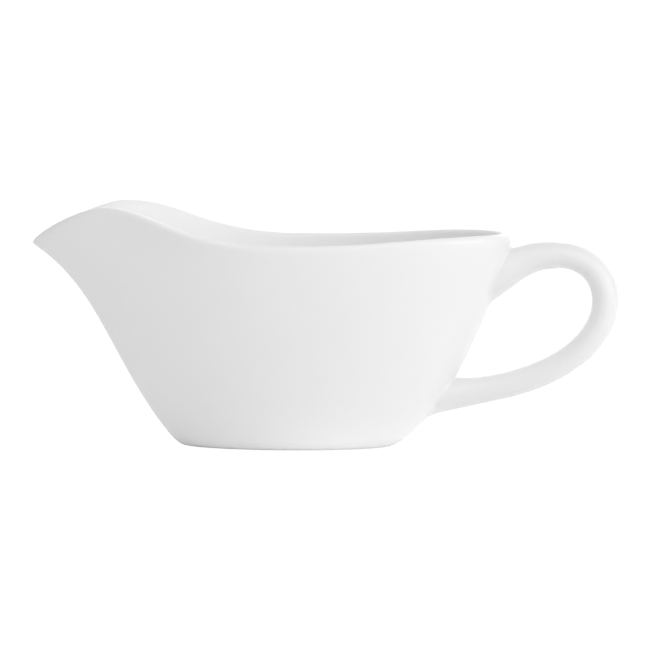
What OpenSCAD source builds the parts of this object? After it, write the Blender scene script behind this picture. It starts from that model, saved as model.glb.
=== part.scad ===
// Gravy boat: an oval bowl with a drawn-out pouring spout and one loop handle.
// Millimetres. +Z is up, +X runs from the spout towards the handle, and the origin is
// the centre of the foot, on the surface that the boat stands on.
// The bowl is a loft through five level outlines, numbered 0 at the base to 4 at the rim.

/* [Bowl outlines, from the base up to the rim] */
// Reach of each outline forwards, to the spout
outline_front = [42.5, 62.5, 72.5, 80.5, 104]; // [40:0.5:105]
// Reach of each outline backwards, to the handle
outline_back = [42.5, 73.5, 72, 90.5, 88]; // [40:0.5:92]
// Half of the width of each outline
outline_half = [27, 35, 40, 43, 45]; // [24:0.5:48]
// How sharply each outline narrows to the spout, 1 for a plain ellipse
outline_point = [1, 1.1, 1.2, 1.35, 1.5]; // [1:0.05:1.6]
// Bluntness of the spout's nose
nose_round = 0.15; // [0.1:0.01:0.3]
// Share of the rim's height that the three middle outlines stand at
outline_rise = [0.26, 0.6, 0.83]; // [0.2:0.01:0.9]

/* [Rim line, seen from the side] */
// Height of the rim at the tip of the spout
tip_h = 80.4; // [76:0.1:84]
// Angle at which the rim climbs from the tip, in degrees
tip_slope = 48; // [40:1:55]
// Highest point of the rim: how far forwards of the foot's centre
crest_front = 71.5; // [60:0.5:75]
// Highest point of the rim: height
crest_h = 95.4; // [92:0.1:100]
// Lowest point of the rim: how far forwards of the foot's centre
dip_front = 1.5; // [-5:0.5:10]
// Lowest point of the rim: height
dip_h = 81.5; // [78:0.1:84]
// Height of the rim at the back
back_h = 84.8; // [82:0.1:88]
// How far the rim line runs on straight at the tip, before and after the crest
crest_reach = [8.5, 7.5, 21.5]; // [6:0.5:24]
// How far the rim line runs on level before and after the dip, and at the back
dip_reach = [38.5, 47.5, 39.5]; // [25:0.5:50]

/* [Walls] */
// Inset of the inside from the base outline, at the spout, at the back and at the sides
base_inset = [-0.5, -1.5, 1.5]; // [-1.5:0.5:2]
// Inset of the inside from the outline above the base, at the same three places
low_inset = [2.5, 2, 2.5]; // [2:0.5:4]
// Inset of the inside from the middle outline, at the same three places
middle_inset = [3, 2.5, 3]; // [2:0.5:4]
// Inset of the inside from the outline below the rim, at the same three places
high_inset = [2, 3, 3]; // [1.5:0.5:4]
// Inset of the inside from the rim outline, at the same three places
rim_inset = [6, 3.5, 3]; // [2.5:0.5:6.5]
// Share of the wall's height at which the lip starts to round over
lip_start = 0.94; // [0.92:0.01:0.98]
// Thickness of the floor
floor_t = 4; // [3:0.5:6]
// Size of the rounding between the wall and the base, outside
heel_r = 3; // [2.5:0.5:6]
// Size of the rounding between the wall and the floor, inside
cove_r = 9; // [4:0.5:12]

/* [Foot] */
// Height of the foot ring, which is the depth of the recess under the bowl
foot_h = 1.5; // [1:0.1:2.5]
// Width of the foot ring's resting face
foot_w = 4; // [3:0.5:6]

/* [Handle] */
// Thickness of the handle's stem, seen from the side
handle_t = 10.2; // [8:0.1:12]
// Width of the handle's stem, seen from above
handle_w = 12.4; // [10:0.1:15]
// Top of the loop's centre line: how far behind the foot's centre
crown_back = 106.3; // [102:0.1:108]
// Top of the loop's centre line: height
crown_h = 75.6; // [74:0.1:78]
// Rearmost point of the loop's centre line: how far behind the foot's centre
loop_back = 125.4; // [122:0.1:128]
// Rearmost point of the loop's centre line: height
loop_h = 58.2; // [56:0.1:62]
// Where the upper end aims to inside the wall: how far behind the foot's centre
upper_root_back = 76; // [72:0.5:78]
// Where the upper end aims to inside the wall: height
upper_root_h = 64.8; // [62:0.1:68]
// Where the lower end aims to inside the wall: how far behind the foot's centre
lower_root_back = 58; // [54:0.5:60]
// Where the lower end aims to inside the wall: height
lower_root_h = 20.5; // [18:0.1:24]
// Angles of the upper and the lower end above the level, in degrees
root_slope = [19, 3]; // [0:0.5:24]
// How far the upper end runs on straight
upper_reach = 10; // [8:0.5:16]
// How far the lower end runs on straight
lower_reach = 51.5; // [35:0.5:56]
// How far the loop runs on level before and after its top
crown_reach = [14.5, 15]; // [8:0.5:20]
// How far the loop runs on upright above and below its rearmost point
back_reach = [6.5, 14]; // [4:0.5:18]
// How much thicker than the stem the upper and the lower end are
root_swell = [7.8, 5]; // [0:0.2:9]
// How far from each end the swelling starts
swell_run = [41, 26.5]; // [20:0.5:42]
// Reach of the slip fillet at the upper and at the lower end
joint_r = [2.4, 1.6]; // [1.2:0.1:3.5]

/* [Smoothness] */
// Points around the bowl, a multiple of four
bowl_n = 88; // [48:4:96]
// Points around the handle
handle_n = 24; // [16:4:28]

/* [Hidden] */
glaze = [0.94, 0.94, 0.93];
slip = [0.93, 0.93, 0.92];
bisque = [0.87, 0.84, 0.78];
halvings = 14;
wall_rows = 15;
lip_rows = 6;
corner_rows = 5;
wall_start = 0.045;
inner_start = 0.12;
upper_rings = 14;
crown_rings = 12;
lower_rings = 30;
fillet_rows = 4;
cap_rings = 3;
floor_h = foot_h + floor_t;
levels = [0, 1, 2, 3, 4];
rim_level = 4;
insets = [base_inset, low_inset, middle_inset, high_inset, rim_inset];
crest = [-crest_front, crest_h];
dip = [-dip_front, dip_h];
handle_crown = [crown_back, crown_h];
handle_back = [loop_back, loop_h];
upper_root = [upper_root_back, upper_root_h];
lower_root = [lower_root_back, lower_root_h];

// General curves: a cubic Bezier's weights, a point on it, and a quadratic's point.
function weights(t) = [pow(1 - t, 3), 3 * pow(1 - t, 2) * t, 3 * (1 - t) * pow(t, 2), pow(t, 3)];
function cubic(c, t) = weights(t) * c;
function quadratic(a, b, c, t) = pow(1 - t, 2) * a + 2 * t * (1 - t) * b + pow(t, 2) * c;
function along(angle) = [cos(angle), sin(angle)];

// Where a rising function passes zero between two values, by halving the gap.
function crossing(rising, low, high, left = halvings) =
    let(middle = (low + high) / 2)
    left == 0 ? middle
    : rising(middle) > 0 ? crossing(rising, low, middle, left - 1)
    : crossing(rising, middle, high, left - 1);

// One level outline, as x and y at angle u: 0 is the back and 180 the spout.
function outline(front, back, half, point, u) =
    let(rear = (front + back) / (1 + sqrt(point)),
        fore = front + back - rear,
        blunt = pow(nose_round, 2),
        narrow = pow((pow(sin(u), 2) + blunt) / (1 + blunt), (point - 1) / 2))
    cos(u) >= 0 ? [back - rear + rear * cos(u), half * sin(u)]
    : [back - rear + fore * cos(u), half * sin(u) * narrow];
function outer_outline(i, u) =
    outline(outline_front[i], outline_back[i], outline_half[i], outline_point[i], u);
function inner_outline(i, u) =
    outline(outline_front[i] - insets[i][0], outline_back[i] - insets[i][1],
            outline_half[i] - insets[i][2], outline_point[i], u);

// The rim line in side view: tip to crest, crest to dip, dip to back.
rim_tip = [-outline_front[rim_level], tip_h];
rim_back = [outline_back[rim_level], back_h];
rim_line = [
    [rim_tip, rim_tip + crest_reach[0] * along(tip_slope), crest - [crest_reach[1], 0], crest],
    [crest, crest + [crest_reach[2], 0], dip - [dip_reach[0], 0], dip],
    [dip, dip + [dip_reach[1], 0], rim_back - [dip_reach[2], 0], rim_back]
];
function rim_h(x) =
    let(piece = rim_line[x < crest.x ? 0 : x < dip.x ? 1 : 2])
    cubic(piece, crossing(function(t) cubic(piece, t).x - x, 0, 1)).y;

// The loft's weights at share v of the way up, and its height as a share of the rim's.
function loft(v) =
    [pow(1 - v, 4), 4 * pow(1 - v, 3) * v, 6 * pow(v * (1 - v), 2), 4 * (1 - v) * pow(v, 3), pow(v, 4)];
function climb(v) = loft(v) * concat(0, outline_rise, 1);

function outer_wall(u, v, rim) =
    let(xy = loft(v) * [for (i = levels) outer_outline(i, u)])
    [xy.x, xy.y, rim * climb(v)];
function inner_wall(u, v, rim) =
    let(xy = loft(v) * [for (i = levels) inner_outline(i, u)])
    [xy.x, xy.y, floor_h + (rim - floor_h) * climb(v)];

// Ellipses of the base: the foot's outside at 0, and smaller ones inside it.
function foot_outline(inset, u) =
    [(outline_front[0] - heel_r - inset) * cos(u), (outline_half[0] - heel_r - inset) * sin(u)];
function floor_outline(share, u) =
    let(edge = inner_outline(0, u))
    share * [edge.x * (1 - cove_r / outline_front[0]), edge.y * (1 - cove_r / outline_half[0])];
function raised(xy, z) = [xy.x, xy.y, z];

// The bowl's section at angle u, from under its centre round the lip to the floor.
function bowl_strand(u) =
    let(rim = rim_h(outer_outline(rim_level, u).x),
        heel = raised(outer_outline(0, u), 0),
        foot = raised(foot_outline(0, u), 0),
        cove = raised(inner_outline(0, u), floor_h),
        floor_edge = raised(floor_outline(1, u), floor_h),
        wall_foot = outer_wall(u, wall_start, rim),
        inner_foot = inner_wall(u, inner_start, rim),
        lip = [outer_wall(u, lip_start, rim), outer_wall(u, 1, rim),
               inner_wall(u, 1, rim), inner_wall(u, lip_start, rim)])
    concat(
        [raised(foot_outline(0, u) / 2, foot_h), raised(foot_outline(0, u), foot_h)],
        [for (k = [0 : corner_rows - 1]) quadratic(foot, heel, wall_foot, k / corner_rows)],
        [for (k = [0 : wall_rows - 1])
            outer_wall(u, wall_start + (lip_start - wall_start) * k / wall_rows, rim)],
        [for (k = [0 : lip_rows - 1]) cubic(lip, k / lip_rows)],
        [for (k = [0 : wall_rows - 1])
            inner_wall(u, lip_start - (lip_start - inner_start) * k / wall_rows, rim)],
        [for (k = [0 : corner_rows]) quadratic(inner_foot, cove, floor_edge, k / corner_rows)],
        [raised(floor_outline(0.5, u), floor_h)]
    );

// A solid skinned over strands of points that stand side by side around it. Its ends
// close on two points, or, where those are left out, each strand closes on itself.
module skin(strands, first_end, last_end) {
    n = len(strands);
    rows = len(strands[0]);
    ring = is_undef(first_end);
    steps = ring ? rows : rows - 1;
    points = concat([for (s = strands) each s], ring ? [] : [first_end, last_end]);
    faces = [for (i = [0 : n - 1])
        let(a = i * rows, b = (i + 1) % n * rows)
        each concat(
            [for (k = [0 : steps - 1]) let(m = (k + 1) % rows) each
                [[a + k, b + m, b + k], [a + k, a + m, b + m]]],
            ring ? [] : [[n * rows, a, b], [n * rows + 1, b + rows - 1, a + rows - 1]])];
    polyhedron(points, faces);
}

module bowl() {
    color(glaze)
    skin([for (i = [0 : bowl_n - 1]) bowl_strand(360 * i / bowl_n)],
         [0, 0, foot_h], [0, 0, floor_h]);
}

// The foot ring, between the bowl's recess and the surface below.
module foot_ring() {
    color(bisque)
    linear_extrude(foot_h)
    difference() {
        polygon([for (i = [0 : bowl_n - 1]) foot_outline(0, 360 * i / bowl_n)]);
        polygon([for (i = [0 : bowl_n - 1]) foot_outline(foot_w, 360 * i / bowl_n)]);
    }
}

// The outside of the wall behind the bowl, at a place given by y and height.
function share_at(angle, z) =
    let(rim = rim_h(outer_outline(rim_level, angle).x))
    crossing(function(v) rim * climb(v) - z, 0, 1);
function wall_point(y, z) =
    let(angle = asin(y / (loft(share_at(0, z)) * outline_half)),
        rim = rim_h(outer_outline(rim_level, angle).x))
    [outer_wall(angle, share_at(angle, z), rim).x, y, z];
function on_wall(centre, edge, share) =
    wall_point(centre.y + share * (edge.y - centre.y), centre.z + share * (edge.z - centre.z));

// The handle's centre line: upper end to crown, crown to rearmost point, and the
// lower end to the rearmost point.
handle_line = [
    [upper_root, upper_root + upper_reach * along(root_slope[0]),
     handle_crown - [crown_reach[0], 0], handle_crown],
    [handle_crown, handle_crown + [crown_reach[1], 0],
     handle_back + [0, back_reach[0]], handle_back],
    [lower_root, lower_root + lower_reach * along(root_slope[1]),
     handle_back - [0, back_reach[1]], handle_back]
];
upper = 0;
crown = 1;
lower = 2;

// A point on the handle's skin: piece of the line, share t of it, angle around the stem.
function direction(piece, t) =
    let(c = handle_line[piece],
        d = quadratic(c[1] - c[0], c[2] - c[1], c[3] - c[2], t))
    (piece == lower ? -1 : 1) * d / norm(d);
function swell(piece, t) =
    let(end = piece == upper ? 0 : 1,
        run = norm(cubic(handle_line[piece], t) - handle_line[piece][0]))
    piece == crown ? 0 : root_swell[end] / 2 * pow(max(0, 1 - run / swell_run[end]), 2);
function stem(piece, t, angle) =
    let(centre = cubic(handle_line[piece], t),
        ahead = direction(piece, t),
        out = (handle_t / 2 + swell(piece, t)) * cos(angle),
        side = -(handle_w / 2 + swell(piece, t)) * sin(angle))
    [centre.x - ahead.y * out, side, centre.y + ahead.x * out];

// Where a line along the skin leaves the wall, and where the slip fillet on it ends.
function leaves_wall(piece, angle) =
    crossing(function(t) let(p = stem(piece, t, angle)) p.x - wall_point(p.y, p.z).x, 0, 0.9);
function leaves_fillet(piece, angle, start) =
    crossing(function(t) norm(stem(piece, t, angle) - stem(piece, start, angle))
             - joint_r[piece == upper ? 0 : 1], start, 1);
function root_edge(piece, angle) = stem(piece, leaves_wall(piece, angle), angle);
function root_centre(piece) =
    wall_point(0, (root_edge(piece, 0).z + root_edge(piece, 180).z) / 2);

// One line along the handle's skin from the wall to its end on the loop.
function root_strand(piece, angle, steps) =
    let(start = leaves_wall(piece, angle),
        clear = leaves_fillet(piece, angle, start))
    concat([stem(piece, start, angle)],
           [for (k = [0 : steps]) stem(piece, clear + (1 - clear) * k / steps, angle)]);
function reversed(list) = [for (i = [len(list) - 1 : -1 : 0]) list[i]];

function handle_strand(angle) =
    let(above = root_strand(upper, angle, upper_rings),
        below = root_strand(lower, angle, lower_rings))
    concat(
        [for (k = [1 : cap_rings - 1]) on_wall(root_centre(upper), above[0], k / cap_rings)],
        above,
        [for (k = [1 : crown_rings - 1]) stem(crown, k / crown_rings, angle)],
        reversed(below),
        [for (k = [cap_rings - 1 : -1 : 1]) on_wall(root_centre(lower), below[0], k / cap_rings)]
    );

module handle() {
    color(glaze)
    skin([for (i = [0 : handle_n - 1]) handle_strand(360 * i / handle_n)],
         root_centre(upper), root_centre(lower));
}

// The fillet of slip that joins one end of the handle to the wall: hollow towards the
// corner, with one side on the handle and one on the wall.
function fillet_strand(piece, angle) =
    let(strand = root_strand(piece, angle, 1),
        corner = strand[0],
        centre = root_centre(piece),
        reach = joint_r[piece == upper ? 0 : 1] / norm([corner.y, corner.z - centre.z]),
        foot = on_wall(centre, corner, 1 + reach))
    concat(
        [for (k = [0 : fillet_rows]) quadratic(strand[1], corner, foot, k / fillet_rows)],
        [on_wall(centre, corner, 1 + reach / 2), corner]
    );

module joint(piece) {
    color(slip)
    skin([for (i = [0 : handle_n - 1])
        let(strand = fillet_strand(piece, 360 * i / handle_n))
        piece == lower ? strand : reversed(strand)]);
}

module upper_joint() {
    joint(upper);
}

module lower_joint() {
    joint(lower);
}

bowl();
handle();
upper_joint();
lower_joint();
foot_ring();
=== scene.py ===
import math

import bpy
import numpy as np
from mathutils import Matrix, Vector, noise


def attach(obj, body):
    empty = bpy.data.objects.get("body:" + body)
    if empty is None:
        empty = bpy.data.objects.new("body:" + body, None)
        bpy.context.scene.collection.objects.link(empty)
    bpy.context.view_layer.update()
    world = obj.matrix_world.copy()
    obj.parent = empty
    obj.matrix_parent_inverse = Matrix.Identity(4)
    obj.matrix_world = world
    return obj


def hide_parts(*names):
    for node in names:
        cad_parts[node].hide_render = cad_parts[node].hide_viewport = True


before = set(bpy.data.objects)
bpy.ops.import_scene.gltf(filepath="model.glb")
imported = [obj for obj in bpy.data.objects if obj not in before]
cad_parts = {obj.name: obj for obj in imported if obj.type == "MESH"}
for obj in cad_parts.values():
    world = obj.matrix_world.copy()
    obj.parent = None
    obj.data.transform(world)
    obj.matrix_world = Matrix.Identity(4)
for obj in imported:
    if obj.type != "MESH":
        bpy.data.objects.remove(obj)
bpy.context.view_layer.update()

MM = 0.001


def heading(degrees):
    """A step of length 1, at an angle from the first of two axes towards the second."""
    return np.array([math.cos(math.radians(degrees)), math.sin(math.radians(degrees))])


# ---------------------------------------------------------------------------
# Dimensions of the boat, in millimetres, as in the CAD model
# ---------------------------------------------------------------------------
# The bowl is a loft through five level outlines, from the base up to the rim. Each has its
# reach to the spout, to the back and to the side, and how pointed it is towards the spout.
LEVELS = range(5)
FRONT = np.array([42.5, 62.5, 72.5, 80.5, 104.0])
BACK = np.array([42.5, 73.5, 72.0, 90.5, 88.0])
HALF = np.array([27.0, 35.0, 40.0, 43.0, 45.0])
POINT = np.array([1.0, 1.1, 1.2, 1.35, 1.5])
NOSE = 0.15  # how blunt the point is
# how high each outline pulls the loft, as a share of the height of the rim
RISE = np.array([0.0, 0.26, 0.6, 0.83, 1.0])
# how far the inner wall's outlines lie inside those of the outer wall
INSET_FRONT = np.array([-0.5, 2.5, 3.0, 2.0, 6.0])
INSET_BACK = np.array([-1.5, 2.0, 2.5, 3.0, 3.5])
INSET_SIDE = np.array([1.5, 2.5, 3.0, 3.0, 3.0])
# the shares of the loft where the heel, the cove and the lip take over from the walls
WALL_START = 0.045
INNER_START = 0.12
LIP_START = 0.94

HEEL_R = 3.0
COVE_R = 9.0
FOOT_H = 1.5
FOOT_W = 4.0
FLOOR_H = FOOT_H + 4.0
# The glaze ends round the foot ring in a thin rolled edge, just clear of the table.
GLAZE_EDGE = 0.12
GLAZE_EDGE_H = 0.9
GLAZE_BULGE = (1.02, 1.03, 1)
HEEL_Z = 0.1  # where the heel starts from that edge

# The rim line and the handle's centre line lie in the plane of symmetry, as x and z.
TIP = np.array([-104.0, 80.4])
CREST = np.array([-71.5, 95.4])
DIP = np.array([-1.5, 81.5])
REAR = np.array([88.0, 84.8])
RIM_LINE = (
    (TIP, TIP + 8.5 * heading(48), CREST - (7.5, 0), CREST),
    (CREST, CREST + (21.5, 0), DIP - (38.5, 0), DIP),
    (DIP, DIP + (47.5, 0), REAR - (39.5, 0), REAR),
)

HANDLE_T = 10.2
HANDLE_W = 12.4
CROWN = np.array([106.3, 75.6])
LOOP_BACK = np.array([125.4, 58.2])
UPPER_ROOT = np.array([76.0, 64.8])
LOWER_ROOT = np.array([58.0, 20.5])
HANDLE_LINE = {
    "upper": (UPPER_ROOT, UPPER_ROOT + 10 * heading(19), CROWN - (14.5, 0), CROWN),
    "crown": (CROWN, CROWN + (15, 0), LOOP_BACK + (0, 6.5), LOOP_BACK),
    "lower": (LOWER_ROOT, LOWER_ROOT + 51.5 * heading(3), LOOP_BACK - (0, 14), LOOP_BACK),
}
# Each end of the handle thickens by so much over so long a run, under a fillet of slip of
# radius JOINT_R, where the glaze pools to a depth given below; its darker tone there is painted
# shade.
SWELL = {"upper": (7.8, 41.0), "lower": (5.0, 26.5)}
JOINT_R = {"upper": 2.4, "lower": 1.6}
ROOT_POOL_SHADE = {"upper": 0.45, "lower": 0.15}
SUNK = 0.6  # how far the handle's skin goes on into the wall

RIPPLE = 0.10  # height of the slow unevenness of the cast walls and handle


# ---------------------------------------------------------------------------
# Curves and the bowl's wall
# ---------------------------------------------------------------------------
def blend_points(points, t):
    """A Bezier curve through any number of control points, by repeated mixing."""
    points = [np.asarray(p, float) for p in points]
    while len(points) > 1:
        points = [a + (b - a) * t for a, b in zip(points, points[1:])]
    return points[0]


def weights(v):
    """The five outlines' weights at share v of the way up the loft."""
    v = np.asarray(v, float)
    return np.stack([math.comb(4, i) * v**i * (1 - v) ** (4 - i) for i in LEVELS], -1)


def climb(v):
    """The height at share v of the loft, as a share of the height of the rim."""
    return weights(v) @ RISE


RIM_POINTS = np.vstack([blend_points(p, np.linspace(0, 1, 1500)[:, None]) for p in RIM_LINE])
CLIMB_AT = np.linspace(0, 1.02, 4000)
CLIMBS = climb(CLIMB_AT)


def rim_height(x):
    return np.interp(x, RIM_POINTS[:, 0], RIM_POINTS[:, 1])


def climb_share(height):
    """The share of the loft that reaches a height, the inverse of climb."""
    return np.interp(height, CLIMBS, CLIMB_AT)


def outline(front, back, half, point, u):
    """x and y of one level outline at angle u: 0 is the back, pi the spout."""
    rear = (front + back) / (1 + math.sqrt(point))
    fore = front + back - rear
    narrow = ((np.sin(u) ** 2 + NOSE**2) / (1 + NOSE**2)) ** ((point - 1) / 2)
    behind = np.cos(u) >= 0
    x = back - rear + np.where(behind, rear, fore) * np.cos(u)
    return x, half * np.sin(u) * np.where(behind, 1.0, narrow)


def level_outline(i, u, inset):
    return outline(
        FRONT[i] - inset * INSET_FRONT[i],
        BACK[i] - inset * INSET_BACK[i],
        HALF[i] - inset * INSET_SIDE[i],
        POINT[i],
        u,
    )


def rim_x(u):
    """x of the outside of the rim at angle u."""
    return level_outline(LEVELS[-1], u, 0)[0]


def wall(u, v, inset=0):
    """Points of the outer wall (inset 0) or the inner wall (inset 1)."""
    u, v = np.broadcast_arrays(np.asarray(u, float), np.asarray(v, float))
    w = weights(v)
    levels = [level_outline(i, u, inset) for i in LEVELS]
    x = sum(w[..., i] * levels[i][0] for i in LEVELS)
    y = sum(w[..., i] * levels[i][1] for i in LEVELS)
    rim = rim_height(rim_x(u))
    base = inset * FLOOR_H
    return np.stack([x, y, base + (rim - base) * climb(v)], -1)


def wall_x(y, z):
    """x of the outer wall behind the bowl, at a place given by y and z."""
    half = weights(climb_share(z / REAR[1])) @ HALF
    angle = np.arcsin(np.clip(y / half, -1, 1))
    rim = rim_height(rim_x(angle))
    return wall(angle, climb_share(z / rim))[..., 0]


def foot_outline(inset, u, z):
    a, b = FRONT[0] - HEEL_R - inset, HALF[0] - HEEL_R - inset
    return np.stack([a * np.cos(u), b * np.sin(u), np.zeros_like(u) + z], -1)


# ---------------------------------------------------------------------------
# Meshes
# ---------------------------------------------------------------------------
def around(n):
    """n angles around a section."""
    return np.linspace(0, 2 * np.pi, n, endpoint=False)


def bell(k, middle, reach):
    """1 at the row called middle, fading to both sides."""
    return np.exp(-(((k - middle) / reach) ** 2))


def new_object(name, points, faces):
    mesh = bpy.data.meshes.new(name)
    mesh.from_pydata(points, [], faces)
    mesh.validate()
    mesh.update()
    piece = bpy.data.objects.new(name, mesh)
    bpy.context.scene.collection.objects.link(piece)
    return piece


def skin(name, grid, first=None, last=None):
    """A closed mesh over strands of points that stand side by side around a solid: tubes
    that close on themselves, or strands that all run from one end point to the other."""
    n, rows = grid.shape[:2]
    ring = first is None
    points = grid.reshape(-1, 3)
    if not ring:
        points = np.vstack([points, [first, last]])
    faces = []
    for i in range(n):
        a, b = i * rows, (i + 1) % n * rows
        for k in range(rows if ring else rows - 1):
            m = (k + 1) % rows
            faces.append((a + k, b + k, b + m, a + m))
        if not ring:
            faces.append((n * rows, b, a))
            faces.append((n * rows + 1, a + rows - 1, b + rows - 1))
    piece = new_object(name, (points * MM).tolist(), faces)
    outward(piece)
    return piece


def outward(piece):
    """Turn the faces so that the mesh holds a positive volume."""
    mesh = piece.data
    mesh.calc_loop_triangles()
    co = np.zeros(len(mesh.vertices) * 3)
    mesh.vertices.foreach_get("co", co)
    co = co.reshape(-1, 3)
    tri = np.array([t.vertices[:] for t in mesh.loop_triangles])
    a, b, c = co[tri[:, 0]], co[tri[:, 1]], co[tri[:, 2]]
    if np.einsum("ij,ij->i", a, np.cross(b, c)).sum() < 0:
        mesh.flip_normals()
    mesh.update()


def per_point(values, n):
    """One value per row of a skin of n strands, for all its points and its two ends."""
    return np.append(np.tile(values, n), (values[0], values[-1]))


def ripple(piece, size, fade):
    """Slow unevenness of a cast and fired body: points move along their normals."""
    mesh = piece.data
    moves = []
    for v in mesh.vertices:
        p = v.co * (1 / (size * MM))
        moves.append(noise.noise(p) + 0.5 * noise.noise(p * 2.3 + Vector((7.1, 3.3, 5.9))))
    for v, normal, move, share in zip(
        mesh.vertices, [v.normal.copy() for v in mesh.vertices], moves, fade
    ):
        v.co += normal * move * RIPPLE * MM * share
    mesh.update()


def mark(piece, thin, pool_and_shade):
    """Say at each point how thin the glaze is and how deep it has pooled; both darken the tone,
    which at the spout's lip and in the hollows and joints is painted shade.
    """
    for name, values in (("glaze_thin_and_shade", thin), ("glaze_pool_and_shade", pool_and_shade)):
        attribute = piece.data.attributes.new(name, "FLOAT", "POINT")
        attribute.data.foreach_set("value", np.asarray(values, np.float32))


def smooth(piece, angle=38):
    mesh = piece.data
    mesh.polygons.foreach_set("use_smooth", [True] * len(mesh.polygons))
    mesh.set_sharp_from_angle(angle=math.radians(angle))


# ---------------------------------------------------------------------------
# The bowl
# ---------------------------------------------------------------------------
LIP_ROWS = 18
EASE_ROWS = 6  # the ripple fades out over so many rows at the heel and at the cove
THIN_REACH = 7.0  # rows of thinner glaze to each side of the middle of the lip
LIP_THIN = 0.1  # how thin the coat on the lip is; it thins to 1 at the tip of the spout, and that darker tip is painted shade
SPOUT_SHADE_START, SPOUT_SHADE_RUN = -70.0, 20.0  # x where that painted shade at the spout starts, and the run it takes
# where the glaze pools, its darker tone being painted shade: how deep, at which row of its band,
# and its reach in rows
COVE_POOL_SHADE = (0.5, 10, 8.0)
RECESS_POOL_SHADE = (0.4, 4, 1.5)


def joint_calm(points, clear=18.0, full=34.0):
    """0 beside the handle's two joints, rising to 1 on the rest of the bowl."""
    near = np.full(points.shape[:-1], np.inf)
    for key in ("upper", "lower"):
        near = np.minimum(near, np.linalg.norm(points - root_centre(key), axis=-1))
    share = np.clip((near - clear) / (full - clear), 0, 1)
    return share * share * (3 - 2 * share)


def bowl_rows(u):
    """The named bands of rows from the middle of the underside, over the lip, to the
    middle of the floor inside."""
    one = np.ones((1, 1))
    column = lambda start, end, rows: np.linspace(start, end, rows, endpoint=False)[None, :]
    curve = lambda points, rows: blend_points(points, column(0, 1, rows)[..., None])
    level = lambda p, z: np.concatenate([p[..., :2], np.zeros_like(p[..., :1]) + z], -1)
    shrunk = lambda p, shares: np.concatenate([p * (k, k, 1) for k in shares], 1)

    foot = foot_outline(0, u, 0.0)
    bulge = foot * GLAZE_BULGE
    heel = level(wall(u, 0 * one), 0.0)
    cove = level(wall(u, 0 * one, 1), FLOOR_H)
    floor_edge = cove * (1 - COVE_R / FRONT[0], 1 - COVE_R / HALF[0], 1)
    lip = [
        wall(u, LIP_START * one),
        wall(u, one),
        wall(u, one, 1),
        wall(u, LIP_START * one, 1),
    ]
    return {
        "underside": shrunk(foot_outline(0, u, FOOT_H), (0.3, 0.6, 0.85, 0.97, 1)),
        "edge": curve([foot + (0, 0, GLAZE_EDGE_H), foot, bulge], 5) + (0, 0, GLAZE_EDGE),
        "heel": curve([bulge + (0, 0, HEEL_Z), heel, wall(u, WALL_START * one)], 12),
        "outside": wall(u, column(WALL_START, LIP_START, 44)),
        "lip": curve(lip, LIP_ROWS),
        "inside": wall(u, column(LIP_START, INNER_START, 40), 1),
        "cove": curve([wall(u, INNER_START * one, 1), cove, floor_edge], 14),
        "floor": shrunk(floor_edge, (1, 0.8, 0.55, 0.3)),
    }


def bowl_piece(n=336):
    rows = bowl_rows(around(n)[:, None])
    start = dict(zip(rows, np.cumsum([0] + [r.shape[1] for r in rows.values()])))
    grid = np.concatenate(list(rows.values()), 1)
    piece = skin("bowl_body", grid, (0, 0, FOOT_H), (0, 0, FLOOR_H))

    k = np.arange(grid.shape[1])
    thin = bell(k, start["lip"] + LIP_ROWS / 2, THIN_REACH)
    from_ends = np.minimum(k - start["outside"], start["cove"] - k)
    fade = np.clip(from_ends / EASE_ROWS, 0, 1) * (1 - 0.7 * thin)
    calm = np.append(joint_calm(grid).ravel(), (1, 1))
    ripple(piece, size=34.0, fade=per_point(fade, n) * calm)

    # the coat is thin all along the lip and thinnest towards the spout's tip; that darker tip is
    # painted shade
    to_tip_shade = np.clip((SPOUT_SHADE_START - grid[..., 0]) / SPOUT_SHADE_RUN, 0, 1)
    lip_coat_and_shade = thin * (LIP_THIN + (1 - LIP_THIN) * to_tip_shade)
    # deeper glaze in the cove and the recess underneath: its darker tone there is painted shade
    pool_and_shade = 0 * k
    for band, (depth, row, reach) in (("cove", COVE_POOL_SHADE), ("underside", RECESS_POOL_SHADE)):
        pool_and_shade = pool_and_shade + depth * bell(k, start[band] + row, reach)
    mark(piece, np.append(lip_coat_and_shade.ravel(), (0, 0)), per_point(pool_and_shade, n))
    smooth(piece)
    return piece


# ---------------------------------------------------------------------------
# The handle, its two joints and the foot
# ---------------------------------------------------------------------------
POOL_SHADE_ROWS = 16.0  # how far along the handle the deeper glaze reaches, in rows; its darker tone is painted shade
SLIP_POOL_SHADE = 2.2  # depth of the glaze on the slip's upper edge, against that on the handle; it paints shade into the crease


def centre_line(key, t):
    """Places on one piece of the handle's centre line, and the way it runs there."""
    line = HANDLE_LINE[key]
    t = np.asarray(t, float)[..., None]
    ahead = blend_points([b - a for a, b in zip(line, line[1:])], t)
    ahead = ahead / np.linalg.norm(ahead, axis=-1, keepdims=True)
    return blend_points(line, t), ahead * (-1 if key == "lower" else 1)


def stem(key, t, angle):
    """A point on the handle's skin: piece of the line, share t of it, angle around it."""
    t, angle = np.broadcast_arrays(np.asarray(t, float), np.asarray(angle, float))
    centre, ahead = centre_line(key, t)
    swell = 0.0
    if key in SWELL:
        amount, reach = SWELL[key]
        run = np.linalg.norm(centre - HANDLE_LINE[key][0], axis=-1)
        swell = amount / 2 * np.clip(1 - run / reach, 0, None) ** 2
    out = (HANDLE_T / 2 + swell) * np.cos(angle)
    side = -(HANDLE_W / 2 + swell) * np.sin(angle)
    return np.stack(
        [centre[..., 0] - ahead[..., 1] * out, side, centre[..., 1] + ahead[..., 0] * out], -1
    )


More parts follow.
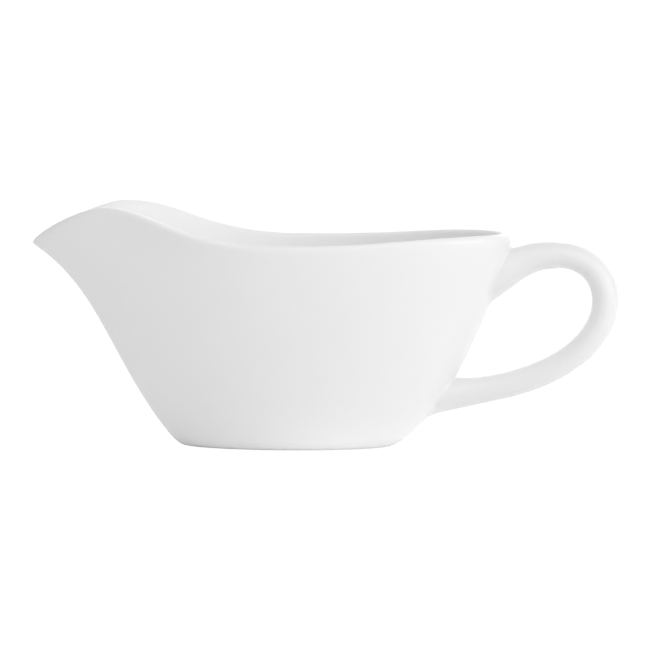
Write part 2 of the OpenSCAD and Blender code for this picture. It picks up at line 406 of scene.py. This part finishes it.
def crossing(rising, low, high, like):
    """Where a rising function passes zero, by halving, for many lines at once."""
    low, high = np.full_like(like, low), np.full_like(like, high)
    for _ in range(40):
        middle = (low + high) / 2
        above = rising(middle) > 0
        low, high = np.where(above, low, middle), np.where(above, middle, high)
    return (low + high) / 2


def leaves_wall(key, angle, sunk=0.0):
    """The share of the line where the handle's skin comes out of the bowl's wall."""

    def gap(t):
        p = stem(key, t, angle)
        return p[..., 0] - wall_x(p[..., 1], p[..., 2]) + sunk

    return crossing(gap, 0.0, 0.9, angle)


def leaves_fillet(key, angle, start):
    """The share of the line where the handle's skin comes out of the slip."""
    here = stem(key, start, angle)
    reach = lambda t: np.linalg.norm(stem(key, t, angle) - here, axis=-1) - JOINT_R[key]
    return crossing(reach, start, 1.0, angle)


def root_centre(key):
    """The middle of the place on the wall where one end of the handle stands."""
    ends = [stem(key, leaves_wall(key, np.array([a])), np.array([a]))[0] for a in (0.0, np.pi)]
    z = (ends[0][2] + ends[1][2]) / 2
    return np.array([float(wall_x(np.array(0.0), np.array(z))), 0.0, z])


def on_wall(centre, edge, share):
    """The place on the wall at a share of the way from a root's centre to its edge."""
    y = centre[1] + share * (edge[..., 1] - centre[1])
    z = centre[2] + share * (edge[..., 2] - centre[2])
    return np.stack([wall_x(y, z), y, z], -1)


def handle_piece(n=72):
    angle = around(n)
    columns = []
    for key, rows in (("upper", 44), ("crown", 40), ("lower", 84)):
        start = np.zeros(n) if key == "crown" else leaves_wall(key, angle, SUNK)
        t = start[:, None] + (1 - start[:, None]) * np.linspace(0, 1, rows)[None, :]
        columns.append(stem(key, t, angle[:, None]))
    grid = np.concatenate([columns[0], columns[1][:, 1:-1], columns[2][:, ::-1]], 1)
    ends = [c - (2 * SUNK, 0, 0) for c in (root_centre("upper"), root_centre("lower"))]
    piece = skin("handle_loop", grid, *ends)
    k = np.arange(grid.shape[1])
    end = k[-1]
    fade = np.clip(np.minimum(k, end - k) / 14 - 0.3, 0, 1)  # calm at both roots
    ripple(piece, size=22.0, fade=per_point(fade, n))
    # deeper glaze at both roots: its darker tone where the handle meets the wall is painted shade
    pool_and_shade = ROOT_POOL_SHADE["upper"] * bell(k, 0, POOL_SHADE_ROWS)
    pool_and_shade += ROOT_POOL_SHADE["lower"] * bell(k, end, POOL_SHADE_ROWS)
    mark(piece, per_point(0 * k, n), per_point(pool_and_shade, n))
    smooth(piece)
    return piece


def slip_piece(name, key, n=96, rows=14):
    """The smoothed slip that joins one end of the handle to the wall."""
    angle = around(n)
    start = leaves_wall(key, angle)
    corner = stem(key, start, angle)
    top = stem(key, leaves_fillet(key, angle, start), angle)
    centre = root_centre(key)
    reach = JOINT_R[key] / np.hypot(corner[:, 1], corner[:, 2] - centre[2])
    foot = on_wall(centre, corner, 1 + reach)
    t = np.linspace(0, 1, rows)[None, :, None]
    hollow = blend_points([top[:, None], corner[:, None], foot[:, None]], t)
    # the back of the slip lies just inside the wall and then just inside the handle
    back = [on_wall(centre, corner, 1 + reach * s)[:, None] - (0.25, 0, 0) for s in (0.6, 0.3)]
    back += [
        on_wall(centre, corner, 0.97)[:, None] - (0.4, 0, 0),
        (corner + (top - corner) * 0.5)[:, None] * 0.995 + 0.005 * centre,
    ]
    grid = np.concatenate([hollow] + back, 1)
    piece = skin(name, grid)
    # the glaze is deepest at the upper edge, and at the foot no deeper than on the wall; its darker
    # tone in that crease is painted shade
    pool_and_shade = np.zeros(grid.shape[:2])
    pool_and_shade[:, :rows] = np.linspace(SLIP_POOL_SHADE * ROOT_POOL_SHADE[key], 0, rows)[None, :]
    mark(piece, 0 * pool_and_shade.ravel(), pool_and_shade.ravel())
    smooth(piece, 60)
    return piece


def foot_piece(n=256, corner=0.45):
    """The ground resting ring, with its two lower edges eased."""
    u = around(n)[:, None]
    t = np.linspace(0, 1, 5)[None, :, None]
    at = lambda inset, z: foot_outline(inset, u, z)
    outer, top = 0.05, FOOT_H - 0.01
    rows = [
        at(outer, top),
        blend_points([at(outer, corner), at(outer, 0.0), at(outer + corner, 0.0)], t),
        at(FOOT_W / 2, 0.0),
        blend_points([at(FOOT_W - corner, 0.0), at(FOOT_W, 0.0), at(FOOT_W, corner)], t),
        at(FOOT_W, top),
    ]
    piece = skin("foot_ground_ring", np.concatenate(rows, 1))
    smooth(piece, 50)
    return piece


# ---------------------------------------------------------------------------
# Materials
# ---------------------------------------------------------------------------
THIN_SHADE_TONE = 0.86  # how dark the coat is where it is thinnest, against the white of the walls; at the spout's lip that is painted shade
POOL_SHADE_TONE = 0.94  # the same where the glaze is deepest: painted shade in the hollows and joints


class Nodes:
    """A short way to build the node tree of a material or of the world."""

    def __init__(self, owner):
        owner.use_nodes = True
        self.owner = owner
        self.tree = owner.node_tree
        self.coordinates = self.add("ShaderNodeTexCoord").outputs

    def add(self, kind, **settings):
        node = self.tree.nodes.new(kind)
        for key, value in settings.items():
            setattr(node, key, value)
        return node

    def put(self, socket, value):
        if isinstance(value, bpy.types.NodeSocket):
            self.tree.links.new(value, socket)
        else:
            socket.default_value = value

    def fill(self, node, values):
        """Set or link inputs of a node, and return its outputs."""
        for key, value in values.items():
            self.put(node.inputs[key], value)
        return node.outputs

    def noise(self, size_mm, detail=2.0, rough=0.5):
        """Noise that changes over about size_mm."""
        values = {
            "Vector": self.coordinates["Object"],
            "Scale": 1 / (size_mm * MM),
            "Detail": detail,
            "Roughness": rough,
        }
        return self.fill(self.add("ShaderNodeTexNoise"), values)["Fac"]

    def attribute(self, name):
        return self.add("ShaderNodeAttribute", attribute_name=name).outputs["Fac"]

    def range(self, value, low, high, start, end):
        values = {"Value": value, "From Min": low, "From Max": high, "To Min": start, "To Max": end}
        return self.fill(self.add("ShaderNodeMapRange"), values)["Result"]

    def step(self, value, low, high):
        node = self.add("ShaderNodeMapRange", interpolation_type="SMOOTHSTEP")
        return self.fill(node, {"Value": value, "From Min": low, "From Max": high})["Result"]

    def math(self, operation, a, b):
        return self.fill(self.add("ShaderNodeMath", operation=operation), {0: a, 1: b})[0]

    def times(self, a, b):
        return self.math("MULTIPLY", a, b)

    def plus(self, a, b):
        return self.math("ADD", a, b)

    def squared(self, value, unit):
        share = self.math("DIVIDE", value, unit)
        return self.times(share, share)

    def mix(self, share, a, b):
        return self.fill(self.add("ShaderNodeMix", data_type="RGBA"), {0: share, 6: a, 7: b})[2]

    def blend(self, share, a, b):
        return self.fill(self.add("ShaderNodeMixShader"), {0: share, 1: a, 2: b})[0]

    def bump(self, height, depth_mm, under=None):
        values = {"Distance": depth_mm * MM, "Strength": 1.0, "Height": height}
        if under is not None:
            values["Normal"] = under
        return self.fill(self.add("ShaderNodeBump"), values)["Normal"]


def grey(share):
    return (share, share, share, 1)


def glaze_material(name, white):
    """White glaze on a white body: slow changes of tone, a thinner coat on the spout's lip,
    a deeper one where it pools, and the fine unevenness of a fired surface. Where the lip's
    coat thins at the spout, and where the glaze pools in hollows and joints, the darker tone is
    painted shade."""
    m = Nodes(bpy.data.materials.new(name))
    tone = m.mix(m.noise(46, 1.0), grey(white), grey(white * 0.985))
    # the thin coat and the pooled glaze darken the tone: painted shade at the spout's lip, in the
    # hollows and at the joints
    tone = m.mix(m.attribute("glaze_thin_and_shade"), tone, grey(white * THIN_SHADE_TONE))
    tone = m.mix(m.attribute("glaze_pool_and_shade"), tone, grey(white * POOL_SHADE_TONE))
    wave = m.bump(m.noise(7, 2.0), 0.02)
    m.fill(m.tree.nodes["Principled BSDF"], {
        "Base Color": tone,
        "Roughness": m.range(m.noise(9, 4.0, 0.6), 0.3, 0.7, 0.30, 0.39),
        "IOR": 1.5,
        "Normal": m.bump(m.noise(1.1, 3.0, 0.6), 0.0035, wave),
    })
    return m.owner


def bisque_material(name, body):
    """The unglazed ground ring: fine grain, pores, and rubbed grey where it stands."""
    m = Nodes(bpy.data.materials.new(name))
    shade = lambda share: (*[c * share for c in body], 1)
    grain = m.noise(0.7, 4.0, 0.7)
    patches = m.range(m.noise(14, 3.0), 0.4, 0.62, 0.0, 1.0)
    pores = m.range(m.noise(0.45, 2.0), 0.28, 0.42, 0.0, 1.0)
    tone = m.mix(grain, shade(0.93), shade(1))
    m.fill(m.tree.nodes["Principled BSDF"], {
        "Base Color": m.mix(m.times(patches, 0.35), tone, shade(0.8)),
        "Roughness": m.range(grain, 0.3, 0.7, 0.72, 0.95),
        "Normal": m.bump(pores, 0.03, m.bump(grain, 0.04)),
    })
    return m.owner


# ---------------------------------------------------------------------------
# The object
# ---------------------------------------------------------------------------
glaze = glaze_material("white_glaze", 0.86)
# the handle's glaze is a darker copy of the same white: painted shade on the handle
handle_glaze = glaze_material("white_glaze_on_handle_shaded", 0.83)
slip_glaze = glaze_material("white_glaze_on_slip", 0.86)
bisque = bisque_material("ground_bisque", (0.78, 0.745, 0.68))

PIECES = (
    (bowl_piece(), "bowl", "glaze", glaze),
    (handle_piece(), "handle", "handle_glaze", handle_glaze),
    (slip_piece("upper_slip", "upper"), "upper_joint", "slip", slip_glaze),
    (slip_piece("lower_slip", "lower"), "lower_joint", "slip", slip_glaze),
    (foot_piece(), "foot_ring", "bisque", bisque),
)
for piece, node, slot, material in PIECES:
    piece.data.materials.append(material)
    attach(piece, "root")
    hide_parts(node)
    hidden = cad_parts[node].data.materials
    hidden.clear()
    hidden.append(material)

# ---------------------------------------------------------------------------
# Stage: pale floor, soft studio light, camera. Lengths are in metres.
# ---------------------------------------------------------------------------
PAPER_WHITE = 1.05  # the white that the camera sees as the floor and behind it
PAPER_SHARE = 0.9  # how much of the floor's look is that plain white
BACK_GLOW = 0.25  # light that the floor gives behind the boat, to the right
FOOT_GLOW = (0.027, 0.145)  # light that it gives round the foot, to the left and the right
FLOOR_SIDES = 64
# radius and height of the floor's rings: finer towards the middle, its edge turned down
FLOOR_RINGS = ((0.3, 0), (1.0, 0), (3.0, 0), (8.0, 0), (13.58, 0), (14.0, -0.05))

# direction (azimuth from +X, elevation), sharpness and strength of each soft light
LOBES = (
    (100, 12, 3, 0.54),
    (-90, 50, 3, 1.165),
    (150, 50, 3, 0.525),
    (-90, 3, 10, 0.37),
    (-15, 3, 10, 3.6),
    (-60, 30, 8, 0.62),
    (60, 30, 8, 1.12),
    (85, 8, 14, 0.95),
    (110, 8, 14, 1.934),
    (160, 8, 14, 0.518),
)

CAMERA_PLACE = (0.3855, -2.9075, 0.2654)
CAMERA_AIM = (0.0151, 0.0, 0.0473)
LENS = 415.1  # in millimetres, on a sensor 36 mm wide


def paper_material(name):
    m = Nodes(bpy.data.materials.new(name))
    place = m.fill(m.add("ShaderNodeSeparateXYZ"), {0: m.coordinates["Object"]})
    x, y = place["X"], place["Y"]
    # the paper is lit from below: behind the boat to the right, and softly round its foot
    behind = m.times(m.step(x, -0.1, 0.15), m.step(y, -0.03, 0.06))
    near = m.step(m.plus(m.squared(x, 0.075), m.squared(y, 0.06)), 1.0, 0.36)
    sides = m.range(m.step(x, -0.025, 0.03), 0.0, 1.0, *FOOT_GLOW)
    paper = m.tree.nodes["Principled BSDF"]
    m.fill(paper, {
        "Base Color": m.mix(m.noise(3, 3.0), grey(0.90), grey(0.92)),
        "Roughness": 0.9,
        "Emission Color": grey(1),
        "Emission Strength": m.plus(m.times(behind, BACK_GLOW), m.times(near, sides)),
    })
    # the paper is exposed to a clean white: this glow reaches the camera and lights nothing
    glow = m.fill(m.add("ShaderNodeEmission"), {"Strength": PAPER_WHITE})[0]
    seen = m.times(m.add("ShaderNodeLightPath").outputs["Is Camera Ray"], PAPER_SHARE)
    above = m.blend(seen, paper.outputs[0], glow)
    # seen from below the paper is not there, so that the foot shows
    below = m.add("ShaderNodeNewGeometry").outputs["Backfacing"]
    clear = m.add("ShaderNodeBsdfTransparent").outputs[0]
    m.put(m.tree.nodes["Material Output"].inputs["Surface"], m.blend(below, above, clear))
    return m.owner


def floor_piece():
    points = [(0, 0, 0)]
    for radius, z in FLOOR_RINGS:
        points += [(radius * math.cos(a), radius * math.sin(a), z) for a in around(FLOOR_SIDES)]
    turn = [(i, (i + 1) % FLOOR_SIDES) for i in range(FLOOR_SIDES)]
    faces = [(0, 1 + i, 1 + j) for i, j in turn]
    for k in range(len(FLOOR_RINGS) - 1):
        a, b = 1 + k * FLOOR_SIDES, 1 + (k + 1) * FLOOR_SIDES
        faces += [(a + i, b + i, b + j, a + j) for i, j in turn]
    floor = new_object("studio_floor", points, faces)
    floor.data.materials.append(paper_material("studio_floor_paper"))


def studio_world():
    """Soft light from the lobes; the camera sees the white of the paper in their place."""
    w = Nodes(bpy.data.worlds.new("studio"))
    bpy.context.scene.world = w.owner
    total = 0.0
    for azimuth, elevation, sharpness, strength in LOBES:
        level, rise = heading(elevation)
        dot = w.add("ShaderNodeVectorMath", operation="DOT_PRODUCT")
        towards = w.fill(dot, {0: w.coordinates["Generated"], 1: (*heading(azimuth) * level, rise)})
        lobe = w.math("POWER", w.math("MAXIMUM", towards["Value"], 0.0), sharpness)
        total = w.plus(w.times(lobe, strength), total)
    light = w.fill(w.tree.nodes["Background"], {"Color": grey(1), "Strength": total})[0]
    white = w.fill(w.add("ShaderNodeBackground"), {"Color": grey(1), "Strength": PAPER_WHITE})[0]
    seen = w.add("ShaderNodeLightPath").outputs["Is Camera Ray"]
    w.put(w.tree.nodes["World Output"].inputs["Surface"], w.blend(seen, light, white))


def aim_camera():
    data = bpy.data.cameras.new("camera")
    data.lens = LENS
    data.sensor_width = 36.0
    data.clip_end = 100.0
    camera = bpy.data.objects.new("camera", data)
    bpy.context.scene.collection.objects.link(camera)
    camera.location = CAMERA_PLACE
    aim = Vector(CAMERA_AIM) - camera.location
    camera.rotation_euler = aim.to_track_quat("-Z", "Y").to_euler()
    bpy.context.scene.camera = camera


floor_piece()
studio_world()
aim_camera()
bpy.context.scene.view_settings.view_transform = "Standard"
